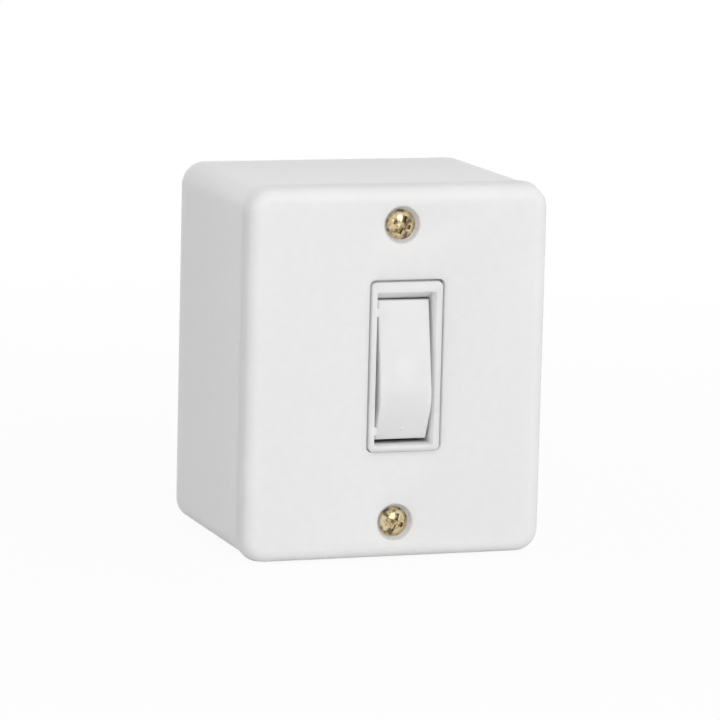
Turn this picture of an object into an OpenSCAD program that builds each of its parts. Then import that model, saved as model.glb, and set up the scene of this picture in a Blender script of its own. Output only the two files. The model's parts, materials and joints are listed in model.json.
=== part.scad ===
// Surface mounted light switch: a deep wall box, its cover and a snap-in rocker module.
// Millimetres. X to the right, Z up, the wall is the plane Y = 0 and the front looks along -Y.
// The modules draw in a wall frame: x to the right, y up, z out of the wall.

/* [Box] */
// Width of the cover where it meets the box
cover_w = 63.8; // [56:0.1:90]
// Height of the cover where it meets the box
cover_h = 76; // [74:0.1:110]
// Depth of the box from the wall to the seam
box_depth = 43; // [34:0.1:60]
// Amount by which the cover stands past the box on each side
overhang = 0.39; // [0.1:0.01:0.8]
// Thickness of the box's side walls
box_wall = 2; // [1.4:0.1:3]
// Thickness of the box's back wall
back_wall = 2.2; // [1.6:0.1:4]
// Radius of the upright corners, seen from the front
corner_r = 5.2; // [4:0.1:8]

/* [Cover] */
// Depth of the cover in front of the seam
cover_depth = 5.1; // [4.6:0.1:8]
// Thickness of the cover's front skin
skin = 2.2; // [1.6:0.1:2.6]
// Thickness of the cover's side walls at the seam
cover_wall = 2; // [1.4:0.1:3]
// Radius of the fillet round the front face
front_fillet = 2.6; // [1:0.1:3]
// Draft of the cover's side, from the seam to the fillet
side_draft = 0.46; // [0:0.01:0.8]
// Distance between the two cover screws
screw_spacing = 60.3; // [58:0.1:64]
// Depth of the screw counterbore
counterbore_depth = 1.5; // [1:0.1:3]
// Radius of the screw counterbore
counterbore_r = 3.75; // [3.3:0.05:4.5]
// Length that the locating tabs reach into the box
tab_reach = 1.8; // [1:0.1:4]
// Clearance between the locating tabs and the box wall
tab_gap = 0.2; // [0.05:0.05:0.4]

/* [Screws] */
// Radius of the cover screw's head
screw_head_r = 3; // [2.5:0.05:3.2]
// Height of the cover screw's head
screw_head_h = 1.7; // [1.4:0.1:2.4]
// Radius of the cover screw's shank
screw_r = 1.45; // [1.2:0.05:1.8]
// Length of the cover screw below its head
screw_length = 14; // [10:0.5:20]
// Angle that the cross recess was left at, clockwise
recess_turn = 20; // [0:1:90]
// Radial clearance of a screw in its pilot hole
thread_gap = 0.05; // [0.02:0.01:0.1]

/* [Window and bezel] */
// Offset of the switch module to the right of the middle
module_x = 1.5; // [-4:0.1:4]
// Width of the bezel's rim beside the opening
rim_side = 1.1; // [0.9:0.1:2.6]
// Height of the bezel's rim above the opening
rim_top = 2.03; // [1.6:0.01:3.5]
// Height of the bezel's rim below the opening
rim_bottom = 1.05; // [0.9:0.01:2.5]
// Gap between the bezel and the window at the sides
side_gap = 0.5; // [0.1:0.05:0.6]
// Gap between the bezel and the window at the top
top_gap = 0.5; // [0.1:0.05:0.8]
// Gap between the bezel and the window at the bottom, where the bezel comes to rest
bottom_gap = 0.05; // [0.02:0.01:0.8]
// Corner radius of the bezel
bezel_r = 1; // [0.5:0.1:2]
// Gap between the rocker and the opening at each side
side_clearance = 0.95; // [0.8:0.05:1.2]
// Gap between the rocker's top edge and the opening
upper_clearance = 1.92; // [1:0.01:2.2]
// Gap between the rocker's bottom edge and the opening
lower_clearance = 1.1; // [0.9:0.01:1.6]
// Amount by which the sloped lead-in narrows the opening at each side
lead_side = 0.35; // [0.2:0.05:0.4]
// Amount by which the sloped lead-in shortens the opening at its bottom
lead_bottom = 0.2; // [0.05:0.05:0.3]
// Depth of the sloped lead-in
lead_depth = 1.3; // [0.8:0.1:1.6]
// Depth of the shelf above the rocker where it leaves the opening's wall
shelf_depth = 1.7; // [1.6:0.1:2.4]
// Depth over which the shelf slopes in towards the rocker
shelf_run = 2.1; // [1.6:0.1:2.6]
// Gap between the rocker's top edge and the shelf
shelf_gap = 0.25; // [0.15:0.05:0.4]
// Thickness of the shelf at its edge
shelf_t = 1.4; // [1:0.1:2]
// Depth of the bezel frame behind the face
frame_depth = 11; // [10.6:0.1:12]
// Width of the flange behind the cover's skin
flange_w = 1.5; // [1:0.1:2.5]
// Thickness of the flange
flange_t = 1.2; // [0.8:0.1:1.6]

/* [Rocker] */
// Width of the rocker
rocker_w = 10.8; // [9:0.1:11]
// Height of the rocker's pivot above the middle of the cover
pivot_y = 0.45; // [-2:0.05:2]
// Depth of the rocker's pivot behind the face
pivot_depth = 6.5; // [6.2:0.1:7.5]
// Reach of the rocker above its pivot
rocker_up = 14.2; // [12:0.1:14.6]
// Reach of the rocker below its pivot
rocker_down = 14; // [12:0.1:14.4]
// Depth of the rocker's ends behind the face, as it rests
end_depth = 2.3; // [1.5:0.1:3]
// Distance from the pivot down to the rocker's crest
crest_down = 6.1; // [4:0.1:9]
// Amount by which the crest stands out of the face
crest_out = 1.15; // [0.5:0.05:2]
// Radius of the rounded crest
crest_r = 9; // [3:0.5:14]
// Wall thickness of the rocker
rocker_wall = 1.3; // [1:0.1:1.8]
// Radius of the trunnions
trunnion_r = 1.3; // [1:0.05:1.6]
// Radial running clearance of the trunnions
trunnion_gap = 0.05; // [0.02:0.01:0.1]
// Full travel of the rocker, in degrees
rocker_travel = 14; // [8:0.5:15]
// Radius of the ball that shows as a pip on the rocker's lower slope
pip_r = 0.5; // [0.3:0.05:0.7]
// Height of the pip
pip_h = 0.2; // [0.1:0.05:0.3]
// Distance of the pip above the rocker's bottom edge
pip_up = 2.2; // [1.5:0.1:4]

/* [Contact mechanism] */
// Outer radius of the rocker's stem
stem_r = 2.5; // [2.2:0.1:3]
// Reach of the stem behind the pivot
stem_reach = 8.5; // [7:0.1:9]
// Radius of the plunger
plunger_r = 1.4; // [1.1:0.05:1.6]
// Radial running clearance of the plunger
plunger_gap = 0.07; // [0.03:0.01:0.1]
// Reach of the plunger past the stem
plunger_out = 2.2; // [1.8:0.1:3]
// Length of the plunger
plunger_length = 4.6; // [3.6:0.1:5.2]
// Wire radius of the plunger spring
spring_wire_r = 0.16; // [0.1:0.01:0.2]
// Turns of the plunger spring
spring_turns = 6; // [3:1:8]
// Gap between the plunger and the see-saw at mid travel
plunger_play = 0.1; // [0.05:0.05:0.3]
// Full travel of the see-saw, in degrees
seesaw_travel = 16; // [8:0.5:18]
// Distance from the fulcrum to the silver tips
arm = 6.3; // [5.4:0.1:6.6]
// Distance from the silver tips to the see-saw's end
seesaw_end = 1.8; // [1.5:0.1:2.2]
// Width of the see-saw
seesaw_w = 4.6; // [4.2:0.1:6]
// Thickness of the see-saw and of the brass strips
strip_t = 0.8; // [0.6:0.05:0.9]
// Radius of the silver tips
tip_r = 1.4; // [1:0.05:1.8]
// Height of the silver tips
tip_h = 0.7; // [0.5:0.05:0.8]

/* [Terminals] */
// Gap between the fixed contact's tongue and the lower terminal screw
foot_gap = 0.95; // [0.5:0.05:1.2]
// Gap between the lower terminal and the end wall of the base
terminal_gap = 0.45; // [0.15:0.05:0.65]
// Radius of the terminal screws
terminal_r = 1.45; // [1.2:0.05:1.6]
// Radius of the terminal screws' heads
terminal_head_r = 2.6; // [2.2:0.1:3]
// Height of the terminal screws' heads
terminal_head_h = 1.5; // [1:0.1:2]
// Wall thickness of the module's base
base_wall = 1.3; // [1:0.1:1.6]
// Thickness of the floor that carries the strips
base_floor = 2; // [1.5:0.1:3]
// Depth of the wire bays behind the floor
bay_depth = 5.6; // [4.8:0.1:8]

/* [Wall fixings] */
// Distance between the two wall fixing holes
fixing_spacing = 40; // [30:0.5:46]
// Radius of the wall fixing holes
fixing_r = 2.2; // [1.5:0.05:3]
// Radius of the cable entry in the back wall
cable_r = 8; // [5:0.5:10]
// Distance of the cable entry below the middle
cable_down = 15; // [12:0.5:18]
// Radius of the scored knockout in the bottom wall
knockout_r = 8; // [5:0.5:10]

/* [Hidden] */
$fn = 48;

white_plastic = [0.93, 0.93, 0.92];
grey_plastic = [0.80, 0.81, 0.82];
zinc_yellow = [0.80, 0.66, 0.34];
brass = [0.78, 0.62, 0.30];
copper = [0.76, 0.45, 0.30];
silver = [0.86, 0.86, 0.88];
steel = [0.62, 0.63, 0.65];

// Overlap of a cut past the face that it opens
cut = 1;
// Embedding of one moulded feature in the wall that carries it
root = 0.4;

face = box_depth + cover_depth;
box_w = cover_w - 2 * overhang;
box_h = cover_h - 2 * overhang;
box_r = corner_r - overhang;
inner_w = box_w - 2 * box_wall;
inner_h = box_h - 2 * box_wall;
inner_r = box_r - box_wall;
box_boss_r = screw_r + 2;
cover_boss_r = counterbore_r + 1.2;
screw_hole_r = screw_r + 0.45;
pilot_r = screw_r + thread_gap;
seat = face - counterbore_depth;
skin_back = cover_depth - skin;

opening_w = rocker_w + 2 * side_clearance;
opening_top = pivot_y + rocker_up + upper_clearance;
opening_bottom = pivot_y - rocker_down - lower_clearance;
opening_h = opening_top - opening_bottom;
opening_y = (opening_top + opening_bottom) / 2;
throat_w = opening_w - 2 * lead_side;
throat_h = opening_h - lead_bottom;
throat_y = opening_y + lead_bottom / 2;
bezel_w = opening_w + 2 * rim_side;
bezel_h = opening_h + rim_top + rim_bottom;
bezel_y = opening_y + (rim_top - rim_bottom) / 2;
window_w = bezel_w + 2 * side_gap;
window_h = bezel_h + top_gap + bottom_gap;
window_y = bezel_y + (top_gap - bottom_gap) / 2;
flange_outer_w = bezel_w + 2 * flange_w;
flange_outer_h = bezel_h + 2 * flange_w;
flange_r = bezel_r + flange_w / 2;
flange_front = face - skin;
flange_back = flange_front - flange_t;
frame_back = face - frame_depth;
pivot = face - pivot_depth;
cheek_x = throat_w / 2;
throat_r = 0.4;
shelf_out = face - shelf_depth;
shelf_in = shelf_out - shelf_run;
shelf_edge = pivot_y + rocker_up + shelf_gap;
bearing_r = trunnion_r + trunnion_gap;
bearing_boss_r = bearing_r + 1.2;
bearing_face_x = rocker_w / 2 + 0.25;

end_out = pivot_depth - end_depth;
crest = pivot_depth + crest_out;
neutral_turn = -rocker_travel / 2;
plunger_tip = stem_reach + plunger_out;
bore_r = plunger_r + plunger_gap;
bore_start = 0.9;
plunger_back = plunger_tip - plunger_length;
seesaw_front = 0.9;
seesaw_lift = seesaw_front - strip_t;
fulcrum = pivot - plunger_tip - plunger_play - seesaw_front;
seesaw_turn = seesaw_travel / 2;
seesaw_half = arm + seesaw_end;
neck_w = 2 * plunger_r + 0.3;
contact_play = 0.05;
tip_face = tip_h - seesaw_lift;
tongue_front = tip_face + contact_play + tip_h;
tongue_drop = arm * sin(seesaw_turn) + (tongue_front + strip_t) * cos(seesaw_turn);
floor_front = fulcrum - tongue_drop - 0.4;
floor_back = floor_front - base_floor;
bay_back = floor_back - bay_depth;
strip_w = 6;
pad_w = 9.6;
pad_h = 7.6;
pocket_w = 7.4;
pocket_h = 6.6;
plate_gap = 0.3;
plate_t = 1;
rivet_r = tip_r / 2;
rivet_gap = 0.04;
tongue_half = tip_r + 0.5;
terminal_reach = arm + tongue_half + foot_gap + terminal_r;
terminal_half = terminal_reach + pad_h / 2 + terminal_gap + base_wall;
base_top = max(opening_top + rim_top, pivot_y + terminal_half);
base_bottom = min(opening_bottom - rim_bottom, pivot_y - terminal_half);
base_h = base_top - base_bottom;
base_y = (base_top + base_bottom) / 2;

nib_h = 1.2;
nib_w = 2.4;
nib_out = 0.7;
nib_at = frame_back + 2;
nib_y = 6;
snap_gap = 0.15;
snap_t = 0.9;
snap_w = 5;

// Rectangle with true round corners
module rounded_rect(w, h, r) {
    square([w - 2 * r, h], center = true);
    square([w, h - 2 * r], center = true);
    for (sx = [-1, 1], sy = [-1, 1])
        translate([sx * (w / 2 - r), sy * (h / 2 - r)])
            circle(r = r);
}

// Prism with round upright corners, from height z0 to z1
module prism(w, h, r, z0, z1) {
    translate([0, 0, z0])
        linear_extrude(z1 - z0)
            rounded_rect(w, h, r);
}

// Box from one corner to the other
module block(low, high) {
    translate(low)
        cube(high - low);
}

// Extrudes an outline drawn as up and out over a width along X, about x = 0
module side_extrude(w) {
    translate([-w / 2, 0, 0])
        rotate([90, 0, 90])
            linear_extrude(w)
                children();
}

// Draws a piece that was made in the wall frame in the part's own frame
module stand_up() {
    rotate([90, 0, 0])
        children();
}

// Section through the cover's side: draft, then the fillet
function rim_section(r) = concat(
    [[0, 0], [r, 0]],
    [for (a = [0:9:90]) [
        r - side_draft - front_fillet * (1 - cos(a)),
        cover_depth - front_fillet * (1 - sin(a))]],
    [[0, cover_depth]]);

// Solid outline of the cover: four revolved corners, four drafted sides and the middle
module cover_blank() {
    half_w = cover_w / 2 - corner_r;
    half_h = cover_h / 2 - corner_r;
    for (corner = [[1, 1, 0], [-1, 1, 90], [-1, -1, 180], [1, -1, 270]])
        translate([corner[0] * half_w, corner[1] * half_h, 0])
            rotate([0, 0, corner[2]])
                rotate_extrude(angle = 90)
                    polygon(rim_section(corner_r));
    for (turn = [0, 180])
        rotate([0, 0, turn])
            translate([half_w, half_h, 0])
                rotate([90, 0, 0])
                    linear_extrude(2 * half_h)
                        polygon(rim_section(corner_r));
    for (turn = [90, 270])
        rotate([0, 0, turn])
            translate([half_h, half_w, 0])
                rotate([90, 0, 0])
                    linear_extrude(2 * half_w)
                        polygon(rim_section(corner_r));
    block([-half_w, -half_h, 0], [half_w, half_h, cover_depth]);
}

// Tab inside the cover's rim that finds the box's wall, at one side of a wall
module locating_tab(length, wall_at) {
    tab_t = 1.2;
    outer = wall_at - tab_gap;
    block([outer - tab_t, -length / 2, -tab_reach], [outer, length / 2, skin_back + root]);
    block([outer - tab_t, -length / 2, 0], [wall_at + box_wall - root, length / 2, skin_back + root]);
}

// Snap hook that holds the module's flange against the back of the skin
module flange_hook(w) {
    arm_t = 1.1;
    lip = 0.7;
    lip_t = 0.4;
    slope_h = 0.9;
    play = 0.1;
    hook_front = skin_back - flange_t - play;
    hook_back = hook_front - lip_t - slope_h;
    side_extrude(w)
        polygon([
            [play, skin_back + root],
            [play, hook_front],
            [-lip, hook_front],
            [-lip, hook_front - lip_t],
            [play, hook_back],
            [play + arm_t, hook_back],
            [play + arm_t, skin_back + root]]);
}

module back_box() {
    color(white_plastic)
        stand_up()
            difference() {
                union() {
                    difference() {
                        prism(box_w, box_h, box_r, 0, box_depth);
                        prism(inner_w, inner_h, inner_r, back_wall, box_depth + cut);
                    }
                    for (side = [-1, 1])
                        screw_boss(side);
                    for (sx = [-1, 1], sy = [-1, 1])
                        side_rib(sx, sy);
                }
                for (side = [-1, 1])
                    translate([0, side * screw_spacing / 2, box_depth - screw_length])
                        cylinder(r = pilot_r, h = screw_length + cut);
                for (side = [-1, 1])
                    translate([side * fixing_spacing / 2, 0, -cut])
                        cylinder(r = fixing_r, h = back_wall + 2 * cut);
                translate([0, -cable_down, -cut])
                    cylinder(r = cable_r, h = back_wall + 2 * cut);
                knockout_score();
            }
}

// Screw boss with the two webs that tie it to the end wall
module screw_boss(side) {
    web_t = 1.4;
    translate([0, side * screw_spacing / 2, back_wall - root])
        cylinder(r = box_boss_r, h = box_depth - back_wall + root);
    for (sx = [-1, 1])
        translate([sx * (box_boss_r - web_t / 2), 0, 0])
            block(
                [-web_t / 2, min(side * screw_spacing / 2, side * (inner_h / 2 + root)), back_wall - root],
                [web_t / 2, max(side * screw_spacing / 2, side * (inner_h / 2 + root)), box_depth]);
}

// Upright stiffening rib on a side wall, below the cover's tabs
module side_rib(sx, sy) {
    rib_t = 1.2;
    rib_h = 1.6;
    tab_clear = 1;
    at = sy * cover_h / 6;
    inside = sx * (inner_w / 2 - rib_h);
    outside = sx * (inner_w / 2 + root);
    block(
        [min(inside, outside), at - rib_t / 2, back_wall - root],
        [max(inside, outside), at + rib_t / 2, box_depth - tab_reach - tab_clear]);
}

// Ring scored into the bottom wall, where a conduit can be let in
module knockout_score() {
    score_w = 0.8;
    web = 0.7;
    translate([0, -box_h / 2 + box_wall - web, box_depth / 2])
        rotate([90, 0, 0])
            difference() {
                cylinder(r = knockout_r, h = box_wall + cut);
                translate([0, 0, -cut])
                    cylinder(r = knockout_r - score_w, h = box_wall + 3 * cut);
            }
}

module front_cover() {
    color(white_plastic)
        stand_up()
            translate([0, 0, box_depth])
                difference() {
                    union() {
                        difference() {
                            cover_blank();
                            prism(cover_w - 2 * cover_wall, cover_h - 2 * cover_wall, corner_r - cover_wall,
                                -cut, skin_back);
                        }
                        for (side = [-1, 1])
                            translate([0, side * screw_spacing / 2, 0])
                                cylinder(r = cover_boss_r, h = cover_depth - root);
                        cover_tabs();
                        module_seat();
                    }
                    window_cut();
                    for (side = [-1, 1])
                        translate([0, side * screw_spacing / 2, 0]) {
                            translate([0, 0, -cut])
                                cylinder(r = screw_hole_r, h = cover_depth + 2 * cut);
                            translate([0, 0, cover_depth - counterbore_depth])
                                cylinder(r = counterbore_r, h = counterbore_depth + cut);
                        }
                }
}

module cover_tabs() {
    tab_l = 9;
    for (turn = [0, 180], at = [-1, 1])
        rotate([0, 0, turn])
            translate([0, at * cover_h / 4, 0])
                locating_tab(tab_l, inner_w / 2);
    for (turn = [90, 270], at = [-1, 1])
        rotate([0, 0, turn])
            translate([0, at * cover_w / 4, 0])
                locating_tab(tab_l, inner_h / 2);
}

// Rails and hooks behind the window that hold the switch module
module module_seat() {
    rail_t = 1.1;
    rail_gap = 0.15;
    hook_w = 7;
    rail_x = flange_outer_w / 2 + rail_gap;
    translate([module_x, bezel_y, 0]) {
        for (side = [0, 180])
            rotate([0, 0, side])
                block(
                    [rail_x, -flange_outer_h / 3, skin_back - flange_t],
                    [rail_x + rail_t, flange_outer_h / 3, skin_back + root]);
        translate([0, flange_outer_h / 2, 0])
            flange_hook(hook_w);
        mirror([0, 1, 0])
            translate([0, flange_outer_h / 2, 0])
                flange_hook(hook_w);
    }
}

module window_cut() {
    translate([module_x, window_y, 0])
        prism(window_w, window_h, bezel_r + side_gap / 2, skin_back - cut / 2, cover_depth + cut);
}

module cover_screws() {
    color(zinc_yellow)
        stand_up()
            for (side = [-1, 1])
                translate([0, side * screw_spacing / 2, seat])
                    pan_screw();
}

// Domed pan head with a cross recess, on a shank with a cone point
module pan_screw() {
    rim_h = 0.5;
    dome_h = screw_head_h - rim_h;
    dome_r = (screw_head_r * screw_head_r + dome_h * dome_h) / (2 * dome_h);
    point = 1.5;
    point_r = 0.2;
    difference() {
        union() {
            cylinder(r = screw_head_r, h = rim_h);
            intersection() {
                translate([0, 0, rim_h - root])
                    cylinder(r = screw_head_r, h = dome_h + root);
                translate([0, 0, screw_head_h - dome_r])
                    sphere(r = dome_r);
            }
            translate([0, 0, point - screw_length])
                cylinder(r = screw_r, h = screw_length - point + root);
            translate([0, 0, -screw_length])
                cylinder(r1 = point_r, r2 = screw_r, h = point);
        }
        rotate([0, 0, -recess_turn])
            cross_recess();
    }
}

// Four wings and a centre pit
module cross_recess() {
    wing_w = 0.85;
    wing_reach = screw_head_r * 0.62;
    depth = screw_head_h * 0.6;
    for (turn = [0, 90])
        rotate([0, 0, turn])
            translate([-wing_reach, -wing_w / 2, screw_head_h - depth])
                cube([2 * wing_reach, wing_w, depth + cut]);
}

module bezel_frame() {
    color(white_plastic)
        stand_up()
            difference() {
                union() {
                    difference() {
                        translate([module_x, bezel_y, 0]) {
                            prism(bezel_w, bezel_h, bezel_r, frame_back, face);
                            prism(flange_outer_w, flange_outer_h, flange_r, flange_back, flange_front);
                            snap_nibs();
                        }
                        translate([module_x, throat_y, 0])
                            prism(throat_w, throat_h, throat_r, frame_back - cut, face - lead_depth + cut);
                        translate([module_x, opening_y, 0])
                            prism(throat_w, opening_h, throat_r, frame_back - cut, shelf_in - shelf_t);
                        lead_in();
                    }
                    shelf();
                    cheek_features();
                }
                translate([module_x, pivot_y, pivot])
                    rotate([0, 90, 0])
                        cylinder(r = bearing_r, h = bezel_w + flange_w, center = true);
                snap_throat();
            }
}

// Sloped lead-in at the sides and the bottom of the opening
module lead_in() {
    sheet = 0.01;
    hull() {
        translate([module_x, throat_y, face - lead_depth])
            linear_extrude(sheet)
                square([throat_w, throat_h], center = true);
        translate([module_x, opening_y, face])
            linear_extrude(sheet)
                square([opening_w, opening_h], center = true);
    }
}

// Shelf that slopes in from the top of the opening to the rocker's edge and closes the gap there
module shelf() {
    translate([module_x, 0, 0])
        side_extrude(throat_w + 2 * root)
            polygon([
                [opening_top + root, shelf_out],
                [opening_top, shelf_out],
                [shelf_edge, shelf_in],
                [shelf_edge, shelf_in - shelf_t],
                [opening_top + root, shelf_in - shelf_t]]);
}

// Bearing bosses on both cheeks, and the guide ribs that show in the gap at the left
module cheek_features() {
    guide_in = 2.2;
    guide_at = rocker_up - guide_in;
    guide_h = 1.6;
    guide_front = face - 0.5;
    guide_l = 4;
    for (side = [0, 1])
        translate([module_x, pivot_y, 0])
            mirror([side, 0, 0]) {
                translate([bearing_face_x, 0, pivot])
                    rotate([0, 90, 0])
                        cylinder(r = bearing_boss_r, h = cheek_x - bearing_face_x + root);
            }
    for (at = [-1, 1])
        translate([module_x, pivot_y + at * guide_at, 0])
            block(
                [-cheek_x - root, -guide_h / 2, guide_front - guide_l],
                [-bearing_face_x, guide_h / 2, guide_front]);
}

// Narrow slot that the trunnions snap through from behind
module snap_throat() {
    throat = 2 * trunnion_r - 0.5;
    translate([module_x, pivot_y, 0])
        block(
            [-bezel_w / 2 - cut, -throat / 2, frame_back - cut],
            [bezel_w / 2 + cut, throat / 2, pivot]);
}

// Wedges on the outside of the cheeks that the base's arms snap over
module snap_nibs() {
    for (side = [0, 1], at = [-1, 1])
        mirror([side, 0, 0])
            translate([0, at * nib_y + nib_w / 2, 0])
                rotate([90, 0, 0])
                    linear_extrude(nib_w)
                        polygon([
                            [bezel_w / 2 - root, nib_at],
                            [bezel_w / 2, nib_at],
                            [bezel_w / 2 + nib_out, nib_at + nib_h],
                            [bezel_w / 2 - root, nib_at + nib_h]]);
}

module module_base() {
    tub_w = bezel_w - 2 * base_wall;
    tub_h = base_h - 2 * base_wall;
    color(grey_plastic)
        stand_up()
            difference() {
                union() {
                    translate([module_x, base_y, 0])
                        difference() {
                            prism(bezel_w, base_h, bezel_r, bay_back, frame_back);
                            prism(tub_w, tub_h, bezel_r / 2, floor_front, frame_back + cut);
                            block(
                                [-tub_w / 2, -base_h / 2 - cut, bay_back - cut],
                                [tub_w / 2, base_h / 2 + cut, floor_back]);
                        }
                    translate([module_x, pivot_y, 0])
                        block(
                            [-bezel_w / 2, -base_wall / 2, bay_back],
                            [bezel_w / 2, base_wall / 2, floor_back + root]);
                    snap_arms();
                }
                for (side = [-1, 1])
                    translate([module_x, pivot_y + side * terminal_reach, 0])
                        block(
                            [-pocket_w / 2, -pocket_h / 2, floor_back - cut],
                            [pocket_w / 2, pocket_h / 2, floor_front + cut]);
            }
}

// Arms with a window that snap over the frame's wedges
module snap_arms() {
    window_gap = 0.25;
    arm_tip = 1.6;
    arm_root = 4;
    arm_front = nib_at + nib_h + arm_tip;
    arm_back = frame_back - arm_root;
    bridge_front = frame_back - 0.6;
    inner = bezel_w / 2 + snap_gap;
    outer = inner + snap_t;
    for (side = [0, 1], at = [-1, 1])
        translate([module_x, bezel_y + at * nib_y, 0])
            mirror([side, 0, 0])
                difference() {
                    union() {
                        block([inner, -snap_w / 2, arm_back], [outer, snap_w / 2, arm_front]);
                        block(
                            [bezel_w / 2 - root, -snap_w / 2, arm_back],
                            [outer, snap_w / 2, bridge_front]);
                    }
                    block(
                        [bezel_w / 2 + snap_gap / 2, -nib_w / 2 - window_gap, nib_at - window_gap],
                        [outer + cut, nib_w / 2 + window_gap, nib_at + nib_h + window_gap]);
                }
}

// Side view of the rocker at rest, as up and out from its pivot, set in by a wall
function rocker_side(inset) =
    let (
        top = [rocker_up, end_out],
        bottom = [-rocker_down, end_out],
        peak = [-crest_down, crest],
        upper_tilt = atan2(peak[1] - top[1], top[0] - peak[0]),
        lower_tilt = atan2(peak[1] - bottom[1], peak[0] - bottom[0]),
        half = (upper_tilt + lower_tilt) / 2,
        run = crest_r * tan(half),
        centre = peak + [
            run * cos(upper_tilt) - crest_r * sin(upper_tilt),
            -run * sin(upper_tilt) - crest_r * cos(upper_tilt)],
        skirt = 0.9)
    concat(
        [[top[0] - inset, skirt - (inset > 0 ? cut : 0)]],
        [[top[0] - inset, top[1] - inset]],
        [for (step = [0:6])
            let (a = 90 - upper_tilt + (upper_tilt + lower_tilt) * step / 6)
            centre + (crest_r - inset) * [cos(a), sin(a)]],
        [[bottom[0] + inset, bottom[1] - inset]],
        [[bottom[0] + inset, skirt - (inset > 0 ? cut : 0)]]);

// Pip that marks the lower slope of the rocker
module pip() {
    slope = atan2(crest - end_out, rocker_down - crest_down);
    translate([0, -rocker_down + pip_up, end_out + pip_up * tan(slope)])
        rotate([slope, 0, 0])
            translate([0, 0, pip_h - pip_r])
                sphere(r = pip_r);
}

module rocker() {
    hub_r = 2.6;
    rib_t = 1;
    trunnion_end = 0.2;
    cavity_w = rocker_w - 2 * rocker_wall;
    trunnion_l = bezel_w / 2 - trunnion_end - cavity_w / 2;
    color(white_plastic)
        stand_up()
            translate([module_x, pivot_y, pivot]) {
                difference() {
                    union() {
                        difference() {
                            side_extrude(rocker_w)
                                union() {
                                    polygon(rocker_side(0));
                                    circle(r = hub_r);
                                    translate([-hub_r, 0])
                                        square([2 * hub_r, end_out]);
                                }
                            side_extrude(cavity_w)
                                union() {
                                    polygon(rocker_side(rocker_wall));
                                    translate([-hub_r - cut, -hub_r - cut])
                                        square([2 * (hub_r + cut), end_out]);
                                }
                        }
                        side_extrude(cavity_w + root)
                            intersection() {
                                polygon(rocker_side(rocker_wall / 2));
                                for (side = [-1, 1])
                                    translate([side * rocker_up / 2 - rib_t / 2, end_out / 2])
                                        square([rib_t, crest]);
                            }
                        rotate([neutral_turn, 0, 0])
                            translate([0, 0, -stem_reach])
                                cylinder(r = stem_r, h = stem_reach + (end_out + crest) / 2);
                        pip();
                    }
                    rotate([neutral_turn, 0, 0])
                        translate([0, 0, -stem_reach - cut])
                            cylinder(r = bore_r, h = stem_reach + cut - bore_start);
                }
                for (side = [-1, 1])
                    rotate([0, side * 90, 0])
                        translate([0, 0, rocker_w / 2 - rocker_wall])
                            cylinder(r = trunnion_r, h = trunnion_l);
            }
}

// Places a piece on the stem's axis, with z = 0 at the pivot
module on_stem() {
    stand_up()
        translate([module_x, pivot_y, pivot])
            rotate([neutral_turn, 0, 0])
                children();
}

module plunger() {
    color(grey_plastic)
        on_stem()
            translate([0, 0, -plunger_tip]) {
                translate([0, 0, plunger_r])
                    sphere(r = plunger_r);
                translate([0, 0, plunger_r])
                    cylinder(r = plunger_r, h = plunger_length - plunger_r);
            }
}

// Open coil between the bottom of the bore and the plunger
module plunger_spring() {
    sides = 8;
    rings_per_turn = 12;
    rings = spring_turns * rings_per_turn;
    coil_r = plunger_r - spring_wire_r - 0.1;
    low = -plunger_back + spring_wire_r * 1.05;
    high = -bore_start - spring_wire_r * 1.05;
    points = [for (i = [0:rings], j = [0:sides - 1])
        let (
            turn = 360 * i / rings_per_turn,
            side = 360 * j / sides,
            r = coil_r + spring_wire_r * cos(side))
        [r * cos(turn), r * sin(turn), low + (high - low) * i / rings + spring_wire_r * sin(side)]];
    walls = [for (i = [0:rings - 1], j = [0:sides - 1])
        let (k = (j + 1) % sides)
        [i * sides + j, (i + 1) * sides + j, (i + 1) * sides + k, i * sides + k]];
    first_cap = [for (j = [0:sides - 1]) j];
    last_cap = [for (j = [sides - 1:-1:0]) rings * sides + j];
    color(steel)
        on_stem()
            polyhedron(points = points, faces = concat([first_cap, last_cap], walls));
}

// Places a piece on the see-saw at rest, with z = 0 on the fulcrum line
module on_seesaw() {
    stand_up()
        translate([module_x, pivot_y, fulcrum])
            rotate([seesaw_turn, 0, 0])
                children();
}

module seesaw_contact() {
    lip_h = 1;
    notch_half = 1.25;
    color(copper)
        on_seesaw()
            difference() {
                side_extrude(seesaw_w)
                    polygon([
                        [-seesaw_half, seesaw_lift],
                        [seesaw_half, seesaw_lift],
                        [seesaw_half, seesaw_front + lip_h],
                        [seesaw_half - strip_t, seesaw_front + lip_h],
                        [seesaw_half - strip_t, seesaw_front],
                        [-seesaw_half + strip_t, seesaw_front],
                        [-seesaw_half + strip_t, seesaw_front + lip_h],
                        [-seesaw_half, seesaw_front + lip_h]]);
                for (side = [0, 1])
                    mirror([side, 0, 0])
                        block(
                            [neck_w / 2, -notch_half, seesaw_lift - cut],
                            [seesaw_w, notch_half, seesaw_front + cut]);
                translate([0, -arm, seesaw_lift - cut])
                    cylinder(r = rivet_r + rivet_gap, h = strip_t + 2 * cut);
            }
}

module moving_tip() {
    upset_h = 0.3;
    upset_r = rivet_r + 0.3;
    color(silver)
        on_seesaw()
            translate([0, -arm, 0]) {
                translate([0, 0, -tip_face])
                    cylinder(r = tip_r, h = tip_h);
                translate([0, 0, -tip_face])
                    cylinder(r = rivet_r, h = tip_h + strip_t + upset_h);
                translate([0, 0, seesaw_front])
                    cylinder(r = upset_r, h = upset_h);
            }
}

module fixed_tip() {
    color(silver)
        on_seesaw()
            translate([0, -arm, -tongue_front]) {
                cylinder(r = tip_r, h = tip_h);
                translate([0, 0, -strip_t])
                    cylinder(r = rivet_r, h = strip_t + root);
            }
}

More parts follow.
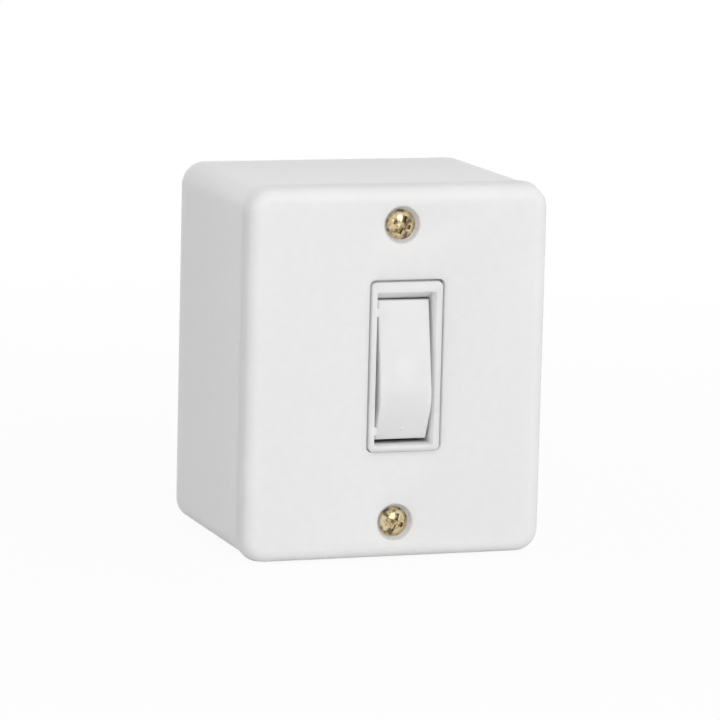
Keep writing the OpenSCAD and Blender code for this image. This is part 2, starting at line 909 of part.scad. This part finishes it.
// Flat pad over a pocket, with a threaded collar for the terminal screw
module terminal_pad(side) {
    collar_h = 1.2;
    collar_r = terminal_r + 0.9;
    translate([0, side * terminal_reach, floor_front]) {
        block([-pad_w / 2, -pad_h / 2, 0], [pad_w / 2, pad_h / 2, strip_t]);
        cylinder(r = collar_r, h = strip_t + collar_h);
    }
}

module terminal_bore(side) {
    translate([0, side * terminal_reach, floor_front - cut])
        cylinder(r = terminal_r + thread_gap, h = strip_t + 4 * cut);
}

module common_terminal() {
    ear_t = 0.6;
    ear_h = 1.6;
    ear_up = 0.9;
    ear_x = neck_w / 2 + 0.15;
    knife_half = 0.8;
    color(brass)
        stand_up()
            translate([module_x, pivot_y, 0])
                difference() {
                    union() {
                        terminal_pad(1);
                        block(
                            [-strip_w / 2, -knife_half, floor_front],
                            [strip_w / 2, terminal_reach, floor_front + strip_t]);
                        side_extrude(2 * (ear_x + ear_t))
                            polygon([
                                [-knife_half, floor_front],
                                [knife_half, floor_front],
                                [knife_half, fulcrum - knife_half],
                                [0, fulcrum],
                                [-knife_half, fulcrum - knife_half]]);
                        for (side = [0, 1])
                            mirror([side, 0, 0])
                                block(
                                    [ear_x, -ear_h / 2, fulcrum - knife_half - root],
                                    [ear_x + ear_t, ear_h / 2, fulcrum + seesaw_front + ear_up]);
                    }
                    terminal_bore(1);
                }
}

module load_terminal() {
    foot = arm + tongue_half;
    tongue_x = tip_r + 0.3;
    color(brass)
        stand_up()
            translate([module_x, pivot_y, 0])
                difference() {
                    union() {
                        terminal_pad(-1);
                        block(
                            [-strip_w / 2, -terminal_reach, floor_front],
                            [strip_w / 2, -foot + strip_t, floor_front + strip_t]);
                        translate([0, 0, fulcrum])
                            rotate([seesaw_turn, 0, 0])
                                block(
                                    [-tongue_x, -foot, -tongue_front - strip_t],
                                    [tongue_x, -arm + tongue_half, -tongue_front]);
                    }
                    terminal_bore(-1);
                    translate([0, 0, fulcrum])
                        rotate([seesaw_turn, 0, 0])
                            translate([0, -arm, -tongue_front - strip_t - cut])
                                cylinder(r = rivet_r + rivet_gap, h = strip_t + 2 * cut);
                }
}

module clamp_plates() {
    hole_gap = 0.2;
    color(steel)
        stand_up()
            for (side = [-1, 1])
                translate([module_x, pivot_y + side * terminal_reach, floor_front - plate_t])
                    difference() {
                        linear_extrude(plate_t)
                            square([pocket_w - 2 * plate_gap, pocket_h - 2 * plate_gap], center = true);
                        translate([0, 0, -cut])
                            cylinder(r = terminal_r + hole_gap, h = plate_t + 2 * cut);
                    }
}

module terminal_screws() {
    slot_w = 0.7;
    slot_depth = terminal_head_h * 0.55;
    shank = plate_t + strip_t + 1.6;
    color(brass)
        stand_up()
            for (side = [-1, 1])
                translate([module_x, pivot_y + side * terminal_reach, floor_front - plate_t])
                    difference() {
                        union() {
                            translate([0, 0, -terminal_head_h])
                                cylinder(r = terminal_head_r, h = terminal_head_h);
                            cylinder(r = terminal_r, h = shank);
                        }
                        translate([-terminal_head_r - cut, -slot_w / 2, -terminal_head_h - cut])
                            cube([2 * (terminal_head_r + cut), slot_w, slot_depth + cut]);
                    }
}

back_box();
front_cover();
cover_screws();
bezel_frame();
module_base();
rocker();
plunger();
plunger_spring();
seesaw_contact();
moving_tip();
fixed_tip();
common_terminal();
load_terminal();
clamp_plates();
terminal_screws();
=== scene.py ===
import json
import math

import bmesh
import bpy
from mathutils import Matrix, Vector

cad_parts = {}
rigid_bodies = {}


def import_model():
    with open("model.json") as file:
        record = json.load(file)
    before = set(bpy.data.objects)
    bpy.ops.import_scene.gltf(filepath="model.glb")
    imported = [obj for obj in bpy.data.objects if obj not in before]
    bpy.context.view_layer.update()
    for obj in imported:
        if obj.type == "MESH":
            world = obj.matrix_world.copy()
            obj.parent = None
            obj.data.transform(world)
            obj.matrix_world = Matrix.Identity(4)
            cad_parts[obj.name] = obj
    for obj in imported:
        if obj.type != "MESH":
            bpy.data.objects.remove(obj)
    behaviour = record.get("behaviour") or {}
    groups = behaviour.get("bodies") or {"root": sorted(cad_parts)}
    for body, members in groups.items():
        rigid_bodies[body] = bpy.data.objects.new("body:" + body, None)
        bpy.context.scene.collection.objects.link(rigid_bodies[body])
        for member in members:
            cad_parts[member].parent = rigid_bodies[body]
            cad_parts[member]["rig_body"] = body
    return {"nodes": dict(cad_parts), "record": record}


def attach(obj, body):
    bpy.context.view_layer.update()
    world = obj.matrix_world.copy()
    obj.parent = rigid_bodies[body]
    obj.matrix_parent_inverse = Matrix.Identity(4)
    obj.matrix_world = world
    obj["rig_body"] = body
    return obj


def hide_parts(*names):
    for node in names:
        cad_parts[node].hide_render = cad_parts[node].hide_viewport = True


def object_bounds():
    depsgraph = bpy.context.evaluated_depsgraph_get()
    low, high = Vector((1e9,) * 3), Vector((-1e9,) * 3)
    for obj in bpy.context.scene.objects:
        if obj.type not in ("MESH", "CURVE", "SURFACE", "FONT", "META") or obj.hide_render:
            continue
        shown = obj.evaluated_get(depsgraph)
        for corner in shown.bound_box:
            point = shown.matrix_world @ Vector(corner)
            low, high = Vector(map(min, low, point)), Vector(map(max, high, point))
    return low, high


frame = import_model()
cad_low, cad_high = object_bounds()

MM = 0.001

# The photograph's camera, from a fit to the object's outline
CAMERA_YAW = math.radians(19.10)
CAMERA_PITCH = math.radians(9.24)
CAMERA_ROLL = math.radians(1.39)
CAMERA_AIM = Vector((8.40, 0.0, -5.11)) * MM
CAMERA_DISTANCE = 940.8 * MM
CAMERA_LENS = 223.1
CAMERA_SENSOR = 36.0
CAMERA_NEAR = 0.01
CAMERA_FAR = 20.0

# Studio light: the even fill, and two soft lamps with their place and size in metres and power in watts
FILL = 0.676
LAMP_AIM = (0, -0.03, 0)
LAMPS = {
    "key": {"place": (0.115, -0.905, 0.596), "size": 0.30, "power": 1.5},
    "front": {"place": (0.110, -1.110, 0.110), "size": 0.80, "power": 2.25},
}

# Floor, in metres: it glows white where it is seen, a little less near the object to keep its shadow
FLOOR_HALF = 3.0
FLOOR_GREY = 0.86
FLOOR_ROUGHNESS = 0.8
FLOOR_SPECULAR = 0.2
FLOOR_GLOW = 0.93
SHADOW_NEAR = 0.08
SHADOW_FAR = 0.40

# Plastics: a fine moulded grain, a wider one and a faint mottle, the last two as a number of grains
WIDE_GRAINS = 4
WIDE_STRENGTH = 0.5
WIDE_DETAIL = 2.0
FINE_HEIGHT = 0.6
FINE_DETAIL = 4.0
MOTTLE_GRAINS = 6
PLASTICS = {
    "white_plastic": {
        "colour": (0.92, 0.92, 0.917), "roughness": 0.55, "scatter_mm": 2.0,
        "grain_mm": 0.28, "height_mm": 0.02, "strength": 0.35, "mottle": 0.008},
    "rocker_plastic": {
        "colour": (0.895, 0.895, 0.892), "roughness": 0.22, "scatter_mm": 2.0,
        "grain_mm": 0.35, "height_mm": 0.01, "strength": 0.10, "mottle": 0.006},
    "base_plastic": {
        "colour": (0.62, 0.63, 0.64), "roughness": 0.5, "scatter_mm": 0.0,
        "grain_mm": 0.3, "height_mm": 0.02, "strength": 0.35, "mottle": 0.02},
}

# Metals: patches of colour as ramp stops, drawn scratches, and painted shade where a screw's recess
# closes in
PATCH_DETAIL = 4.0
SCRATCH_DETAIL = 2.0
SCRATCH_STRETCH = (1.0, 1.0, 0.12)
SCRATCH_STRENGTH = 0.35
RECESS_REACH_MM = 0.7
RECESS_SAMPLES = 8
RECESS_STOPS = [(0.42, (0, 0, 0)), (0.76, (1, 1, 1))]
# the colour of the painted shade in a screw's recess
RECESS_SHADE_COLOUR = (0.07, 0.045, 0.015, 1.0)
METALS = {
    "zinc_yellow": {
        "stops": [
            (0.38, (0.16, 0.13, 0.10)),
            (0.45, (0.50, 0.38, 0.20)),
            (0.55, (0.68, 0.57, 0.36)),
            (0.66, (0.64, 0.60, 0.50))],
        # painted shade in the screw recesses
        "roughness": 0.22, "patch_mm": 1.5, "scratch_mm": 0.10, "height_mm": 0.006, "painted_recess_shade": True},
    "brass": {
        "stops": [(0.35, (0.62, 0.44, 0.18)), (0.65, (0.80, 0.62, 0.30))],
        "roughness": 0.32, "patch_mm": 1.6, "scratch_mm": 0.12, "height_mm": 0.010},
    "copper": {
        "stops": [(0.35, (0.60, 0.30, 0.18)), (0.65, (0.78, 0.44, 0.30))],
        "roughness": 0.34, "patch_mm": 1.6, "scratch_mm": 0.12, "height_mm": 0.010},
    "silver": {
        "stops": [(0.35, (0.72, 0.72, 0.73)), (0.65, (0.86, 0.86, 0.87))],
        "roughness": 0.26, "patch_mm": 0.9, "scratch_mm": 0.10, "height_mm": 0.006},
    "steel": {
        "stops": [(0.35, (0.50, 0.51, 0.53)), (0.65, (0.66, 0.67, 0.69))],
        "roughness": 0.30, "patch_mm": 1.2, "scratch_mm": 0.10, "height_mm": 0.008},
}

# Softened edges: the width of all, the width at the front, and how short a front edge keeps the first
EDGES_MM = {
    "back_box": (0.15, 0.15, 0.0),
    "front_cover": (0.12, 0.35, 0.0),
    "bezel_frame": (0.08, 0.35, 0.0),
    "rocker": (0.06, 0.30, 0.20),
    "cover_screws": (0.06, 0.06, 0.0),
    "module_base": (0.10, 0.10, 0.0),
}
EDGE_SEGMENTS = 3
SHARP = math.radians(28)
FLAT = math.radians(0.4)
FRONT_FACING = -0.85
SAME_POINT = 0.0005 * MM


# Node helpers

def new_material(name):
    """An empty node material, with its node tree, its Principled shader and its object coordinates."""
    material = bpy.data.materials.new(name)
    material.use_nodes = True
    tree = material.node_tree
    shader = tree.nodes["Principled BSDF"]
    coords = tree.nodes.new("ShaderNodeTexCoord").outputs["Object"]
    return material, tree, shader, coords


def noise(tree, coords, size_mm, detail=3.0, stretch=None):
    """Noise with features of about size_mm, drawn out along an axis by stretch."""
    if stretch:
        mapping = tree.nodes.new("ShaderNodeMapping")
        mapping.inputs["Scale"].default_value = stretch
        tree.links.new(coords, mapping.inputs["Vector"])
        coords = mapping.outputs["Vector"]
    node = tree.nodes.new("ShaderNodeTexNoise")
    node.inputs["Scale"].default_value = 1.0 / (size_mm * MM)
    node.inputs["Detail"].default_value = detail
    tree.links.new(coords, node.inputs["Vector"])
    return node.outputs["Fac"]


def ramp(tree, value, stops):
    """Colour ramp through (position, colour) stops."""
    node = tree.nodes.new("ShaderNodeValToRGB")
    elements = node.color_ramp.elements
    while len(elements) < len(stops):
        elements.new(0.5)
    for element, (position, colour) in zip(elements, stops):
        element.position = position
        element.color = (*colour, 1.0)
    tree.links.new(value, node.inputs["Fac"])
    return node.outputs["Color"]


def bump(tree, height, distance_mm, strength, below=None):
    """Bump of a real height, laid over another bump."""
    node = tree.nodes.new("ShaderNodeBump")
    node.inputs["Distance"].default_value = distance_mm * MM
    node.inputs["Strength"].default_value = strength
    tree.links.new(height, node.inputs["Height"])
    if below is not None:
        tree.links.new(below, node.inputs["Normal"])
    return node.outputs["Normal"]


def combine(tree, operation, first, second):
    """One math operation on two values."""
    node = tree.nodes.new("ShaderNodeMath")
    node.operation = operation
    tree.links.new(first, node.inputs[0])
    tree.links.new(second, node.inputs[1])
    return node.outputs["Value"]


def rescale(tree, value, low, high, start=0.0, end=1.0):
    """Turns a value between start and end into one between low and high."""
    node = tree.nodes.new("ShaderNodeMapRange")
    node.inputs["From Min"].default_value = start
    node.inputs["From Max"].default_value = end
    node.inputs["To Min"].default_value = low
    node.inputs["To Max"].default_value = high
    tree.links.new(value, node.inputs["Value"])
    return node.outputs["Result"]


def seen_ray(tree):
    """One where the camera or a reflection looks, and nought for the light that reaches the object."""
    path = tree.nodes.new("ShaderNodeLightPath")
    value = path.outputs["Is Camera Ray"]
    for kind in ("Is Glossy Ray", "Is Transmission Ray"):
        value = combine(tree, "MAXIMUM", value, path.outputs[kind])
    return value


# Materials

def two_shades(colour, mottle):
    """Ramp stops from a little below a colour to a little above it."""
    low = tuple(c * (1 - mottle) for c in colour)
    high = tuple(min(1.0, c * (1 + mottle)) for c in colour)
    return [(0.35, low), (0.65, high)]


def plastic(name, colour, roughness, scatter_mm, grain_mm, height_mm, strength, mottle):
    """Moulded plastic with a spark-eroded grain, a faint mottle and light that spreads under its skin."""
    material, tree, shader, coords = new_material(name)
    shade = ramp(tree, noise(tree, coords, grain_mm * MOTTLE_GRAINS), two_shades(colour, mottle))
    tree.links.new(shade, shader.inputs["Base Color"])
    shader.inputs["Roughness"].default_value = roughness
    if scatter_mm:
        shader.inputs["Subsurface Weight"].default_value = 1.0
        shader.inputs["Subsurface Radius"].default_value = (1.0, 1.0, 1.0)
        shader.inputs["Subsurface Scale"].default_value = scatter_mm * MM
    wide = noise(tree, coords, grain_mm * WIDE_GRAINS, WIDE_DETAIL)
    wide = bump(tree, wide, height_mm, strength * WIDE_STRENGTH)
    fine = noise(tree, coords, grain_mm, FINE_DETAIL)
    fine = bump(tree, fine, height_mm * FINE_HEIGHT, strength, wide)
    tree.links.new(fine, shader.inputs["Normal"])
    return material


def recess_painted_shade(tree, colour):
    """Painted shade: darkens a colour where the piece closes in on itself, as in a screw's recess."""
    hollow = tree.nodes.new("ShaderNodeAmbientOcclusion")
    hollow.only_local = True
    hollow.samples = RECESS_SAMPLES
    hollow.inputs["Distance"].default_value = RECESS_REACH_MM * MM
    amount = ramp(tree, hollow.outputs["AO"], RECESS_STOPS)
    mix = tree.nodes.new("ShaderNodeMix")
    mix.data_type = "RGBA"
    tree.links.new(amount, mix.inputs["Factor"])
    mix.inputs["A"].default_value = RECESS_SHADE_COLOUR
    tree.links.new(colour, mix.inputs["B"])
    return mix.outputs["Result"]


def plated(name, stops, roughness, patch_mm, scratch_mm, height_mm, painted_recess_shade=False):
    """Plated or stamped metal: patches of colour, fine drawn scratches, and painted shade in its
    recesses.
    """
    material, tree, shader, coords = new_material(name)
    shader.inputs["Metallic"].default_value = 1.0
    colour = ramp(tree, noise(tree, coords, patch_mm, PATCH_DETAIL), stops)
    # painted shade: the recesses are darkened where the piece closes in
    if painted_recess_shade:
        colour = recess_painted_shade(tree, colour)
    tree.links.new(colour, shader.inputs["Base Color"])
    shader.inputs["Roughness"].default_value = roughness
    scratches = noise(tree, coords, scratch_mm, SCRATCH_DETAIL, SCRATCH_STRETCH)
    tree.links.new(bump(tree, scratches, height_mm, SCRATCH_STRENGTH), shader.inputs["Normal"])
    return material


materials = {name: plastic(name, **look) for name, look in PLASTICS.items()}
materials.update((name, plated(name, **look)) for name, look in METALS.items())


# Pieces

def slot_of(node):
    """The record's material slot of a CAD node."""
    return next(part["material_slot"] for part in frame["record"]["subparts"] if part["node"] == node)


def paint(obj, material):
    """Gives a piece one material."""
    obj.data.materials.clear()
    obj.data.materials.append(material)


def add(name, data):
    """Puts a new object of some data into the scene."""
    obj = bpy.data.objects.new(name, data)
    bpy.context.scene.collection.objects.link(obj)
    return obj


def faces_front(edge):
    """Whether an edge bounds a face that looks out of the wall."""
    return any(face.normal.y < FRONT_FACING for face in edge.link_faces)


def soften(bm, edge_mm, front_mm, shortest_mm):
    """Writes each sharp edge's share of the widest softening, and gives that width."""
    widest = max(edge_mm, front_mm)
    share = bm.edges.layers.float.new("bevel_weight_edge")
    for edge in bm.edges:
        if len(edge.link_faces) != 2 or edge.calc_face_angle() < SHARP:
            continue
        is_front = faces_front(edge) and edge.calc_length() > shortest_mm * MM
        edge[share] = (front_mm if is_front else edge_mm) / widest
    return widest


def dress(node, edge_mm, front_mm, shortest_mm):
    """Stands a copy of a CAD node with softened edges in its place."""
    source = frame["nodes"][node]
    mesh = bpy.data.meshes.new(node + "_skin")
    bm = bmesh.new()
    bm.from_mesh(source.data)
    bmesh.ops.remove_doubles(bm, verts=bm.verts, dist=SAME_POINT)
    bmesh.ops.dissolve_limit(bm, angle_limit=FLAT, verts=bm.verts, edges=bm.edges)
    widest = soften(bm, edge_mm, front_mm, shortest_mm)
    bm.to_mesh(mesh)
    bm.free()
    mesh.shade_smooth()
    skin = add(node + "_skin", mesh)
    paint(skin, materials[slot_of(node)])
    edges = skin.modifiers.new("edges", "BEVEL")
    edges.width = widest * MM
    edges.segments = EDGE_SEGMENTS
    edges.limit_method = "WEIGHT"
    edges.harden_normals = True
    edges.miter_outer = "MITER_ARC"
    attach(skin, source["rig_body"])
    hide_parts(node)


for name, node in frame["nodes"].items():
    paint(node, materials[slot_of(name)])
for name, widths in EDGES_MM.items():
    dress(name, *widths)


# Stage

def camera():
    """The photograph's camera."""
    back = Vector((
        -math.sin(CAMERA_YAW) * math.cos(CAMERA_PITCH),
        -math.cos(CAMERA_YAW) * math.cos(CAMERA_PITCH),
        math.sin(CAMERA_PITCH)))
    right = (-back).cross(Vector((0, 0, 1))).normalized()
    up = right.cross(-back)
    rolled_right = math.cos(CAMERA_ROLL) * right + math.sin(CAMERA_ROLL) * up
    rolled_up = math.cos(CAMERA_ROLL) * up - math.sin(CAMERA_ROLL) * right
    data = bpy.data.cameras.new("camera")
    data.lens = CAMERA_LENS
    data.sensor_width = CAMERA_SENSOR
    data.clip_start = CAMERA_NEAR
    data.clip_end = CAMERA_FAR
    obj = add("camera", data)
    turn = Matrix((rolled_right, rolled_up, back)).transposed().to_4x4()
    obj.matrix_world = Matrix.Translation(CAMERA_AIM + back * CAMERA_DISTANCE) @ turn
    bpy.context.scene.camera = obj


def lamp(name, place, size, power):
    """A square soft lamp that looks at the object."""
    data = bpy.data.lights.new(name, "AREA")
    data.size = size
    data.energy = power
    obj = add(name, data)
    obj.location = place
    obj.rotation_mode = "QUATERNION"
    obj.rotation_quaternion = (Vector(LAMP_AIM) - Vector(place)).to_track_quat("-Z", "Y")


def floor():
    """Pale floor: white where it is seen, with the object's soft shadow kept close to it."""
    near, far, level = -FLOOR_HALF, FLOOR_HALF, cad_low.z
    corners = [(near, near, level), (far, near, level), (far, far, level), (near, far, level)]
    mesh = bpy.data.meshes.new("floor")
    mesh.from_pydata(corners, [], [(0, 1, 2, 3)])
    obj = add("floor", mesh)
    material, tree, shader, coords = new_material("floor")
    shader.inputs["Base Color"].default_value = (FLOOR_GREY, FLOOR_GREY, FLOOR_GREY, 1)
    shader.inputs["Roughness"].default_value = FLOOR_ROUGHNESS
    shader.inputs["Specular IOR Level"].default_value = FLOOR_SPECULAR
    glow = tree.nodes.new("ShaderNodeEmission")
    glow.inputs["Strength"].default_value = 1.0
    distance = tree.nodes.new("ShaderNodeVectorMath")
    distance.operation = "LENGTH"
    tree.links.new(coords, distance.inputs[0])
    share = rescale(tree, distance.outputs["Value"], FLOOR_GLOW, 1.0, SHADOW_NEAR, SHADOW_FAR)
    mix = tree.nodes.new("ShaderNodeMixShader")
    tree.links.new(combine(tree, "MULTIPLY", seen_ray(tree), share), mix.inputs["Fac"])
    tree.links.new(shader.outputs["BSDF"], mix.inputs[1])
    tree.links.new(glow.outputs["Emission"], mix.inputs[2])
    tree.links.new(mix.outputs["Shader"], tree.nodes["Material Output"].inputs["Surface"])
    paint(obj, material)


def sky():
    """Even studio fill, seen as white behind the object."""
    world = bpy.data.worlds.new("studio")
    bpy.context.scene.world = world
    world.use_nodes = True
    tree = world.node_tree
    background = tree.nodes["Background"]
    background.inputs["Color"].default_value = (1, 1, 1, 1)
    tree.links.new(rescale(tree, seen_ray(tree), FILL, 1.0), background.inputs["Strength"])


bpy.context.scene.view_settings.view_transform = "Standard"
camera()
sky()
floor()
for name, look in LAMPS.items():
    lamp(name, **look)
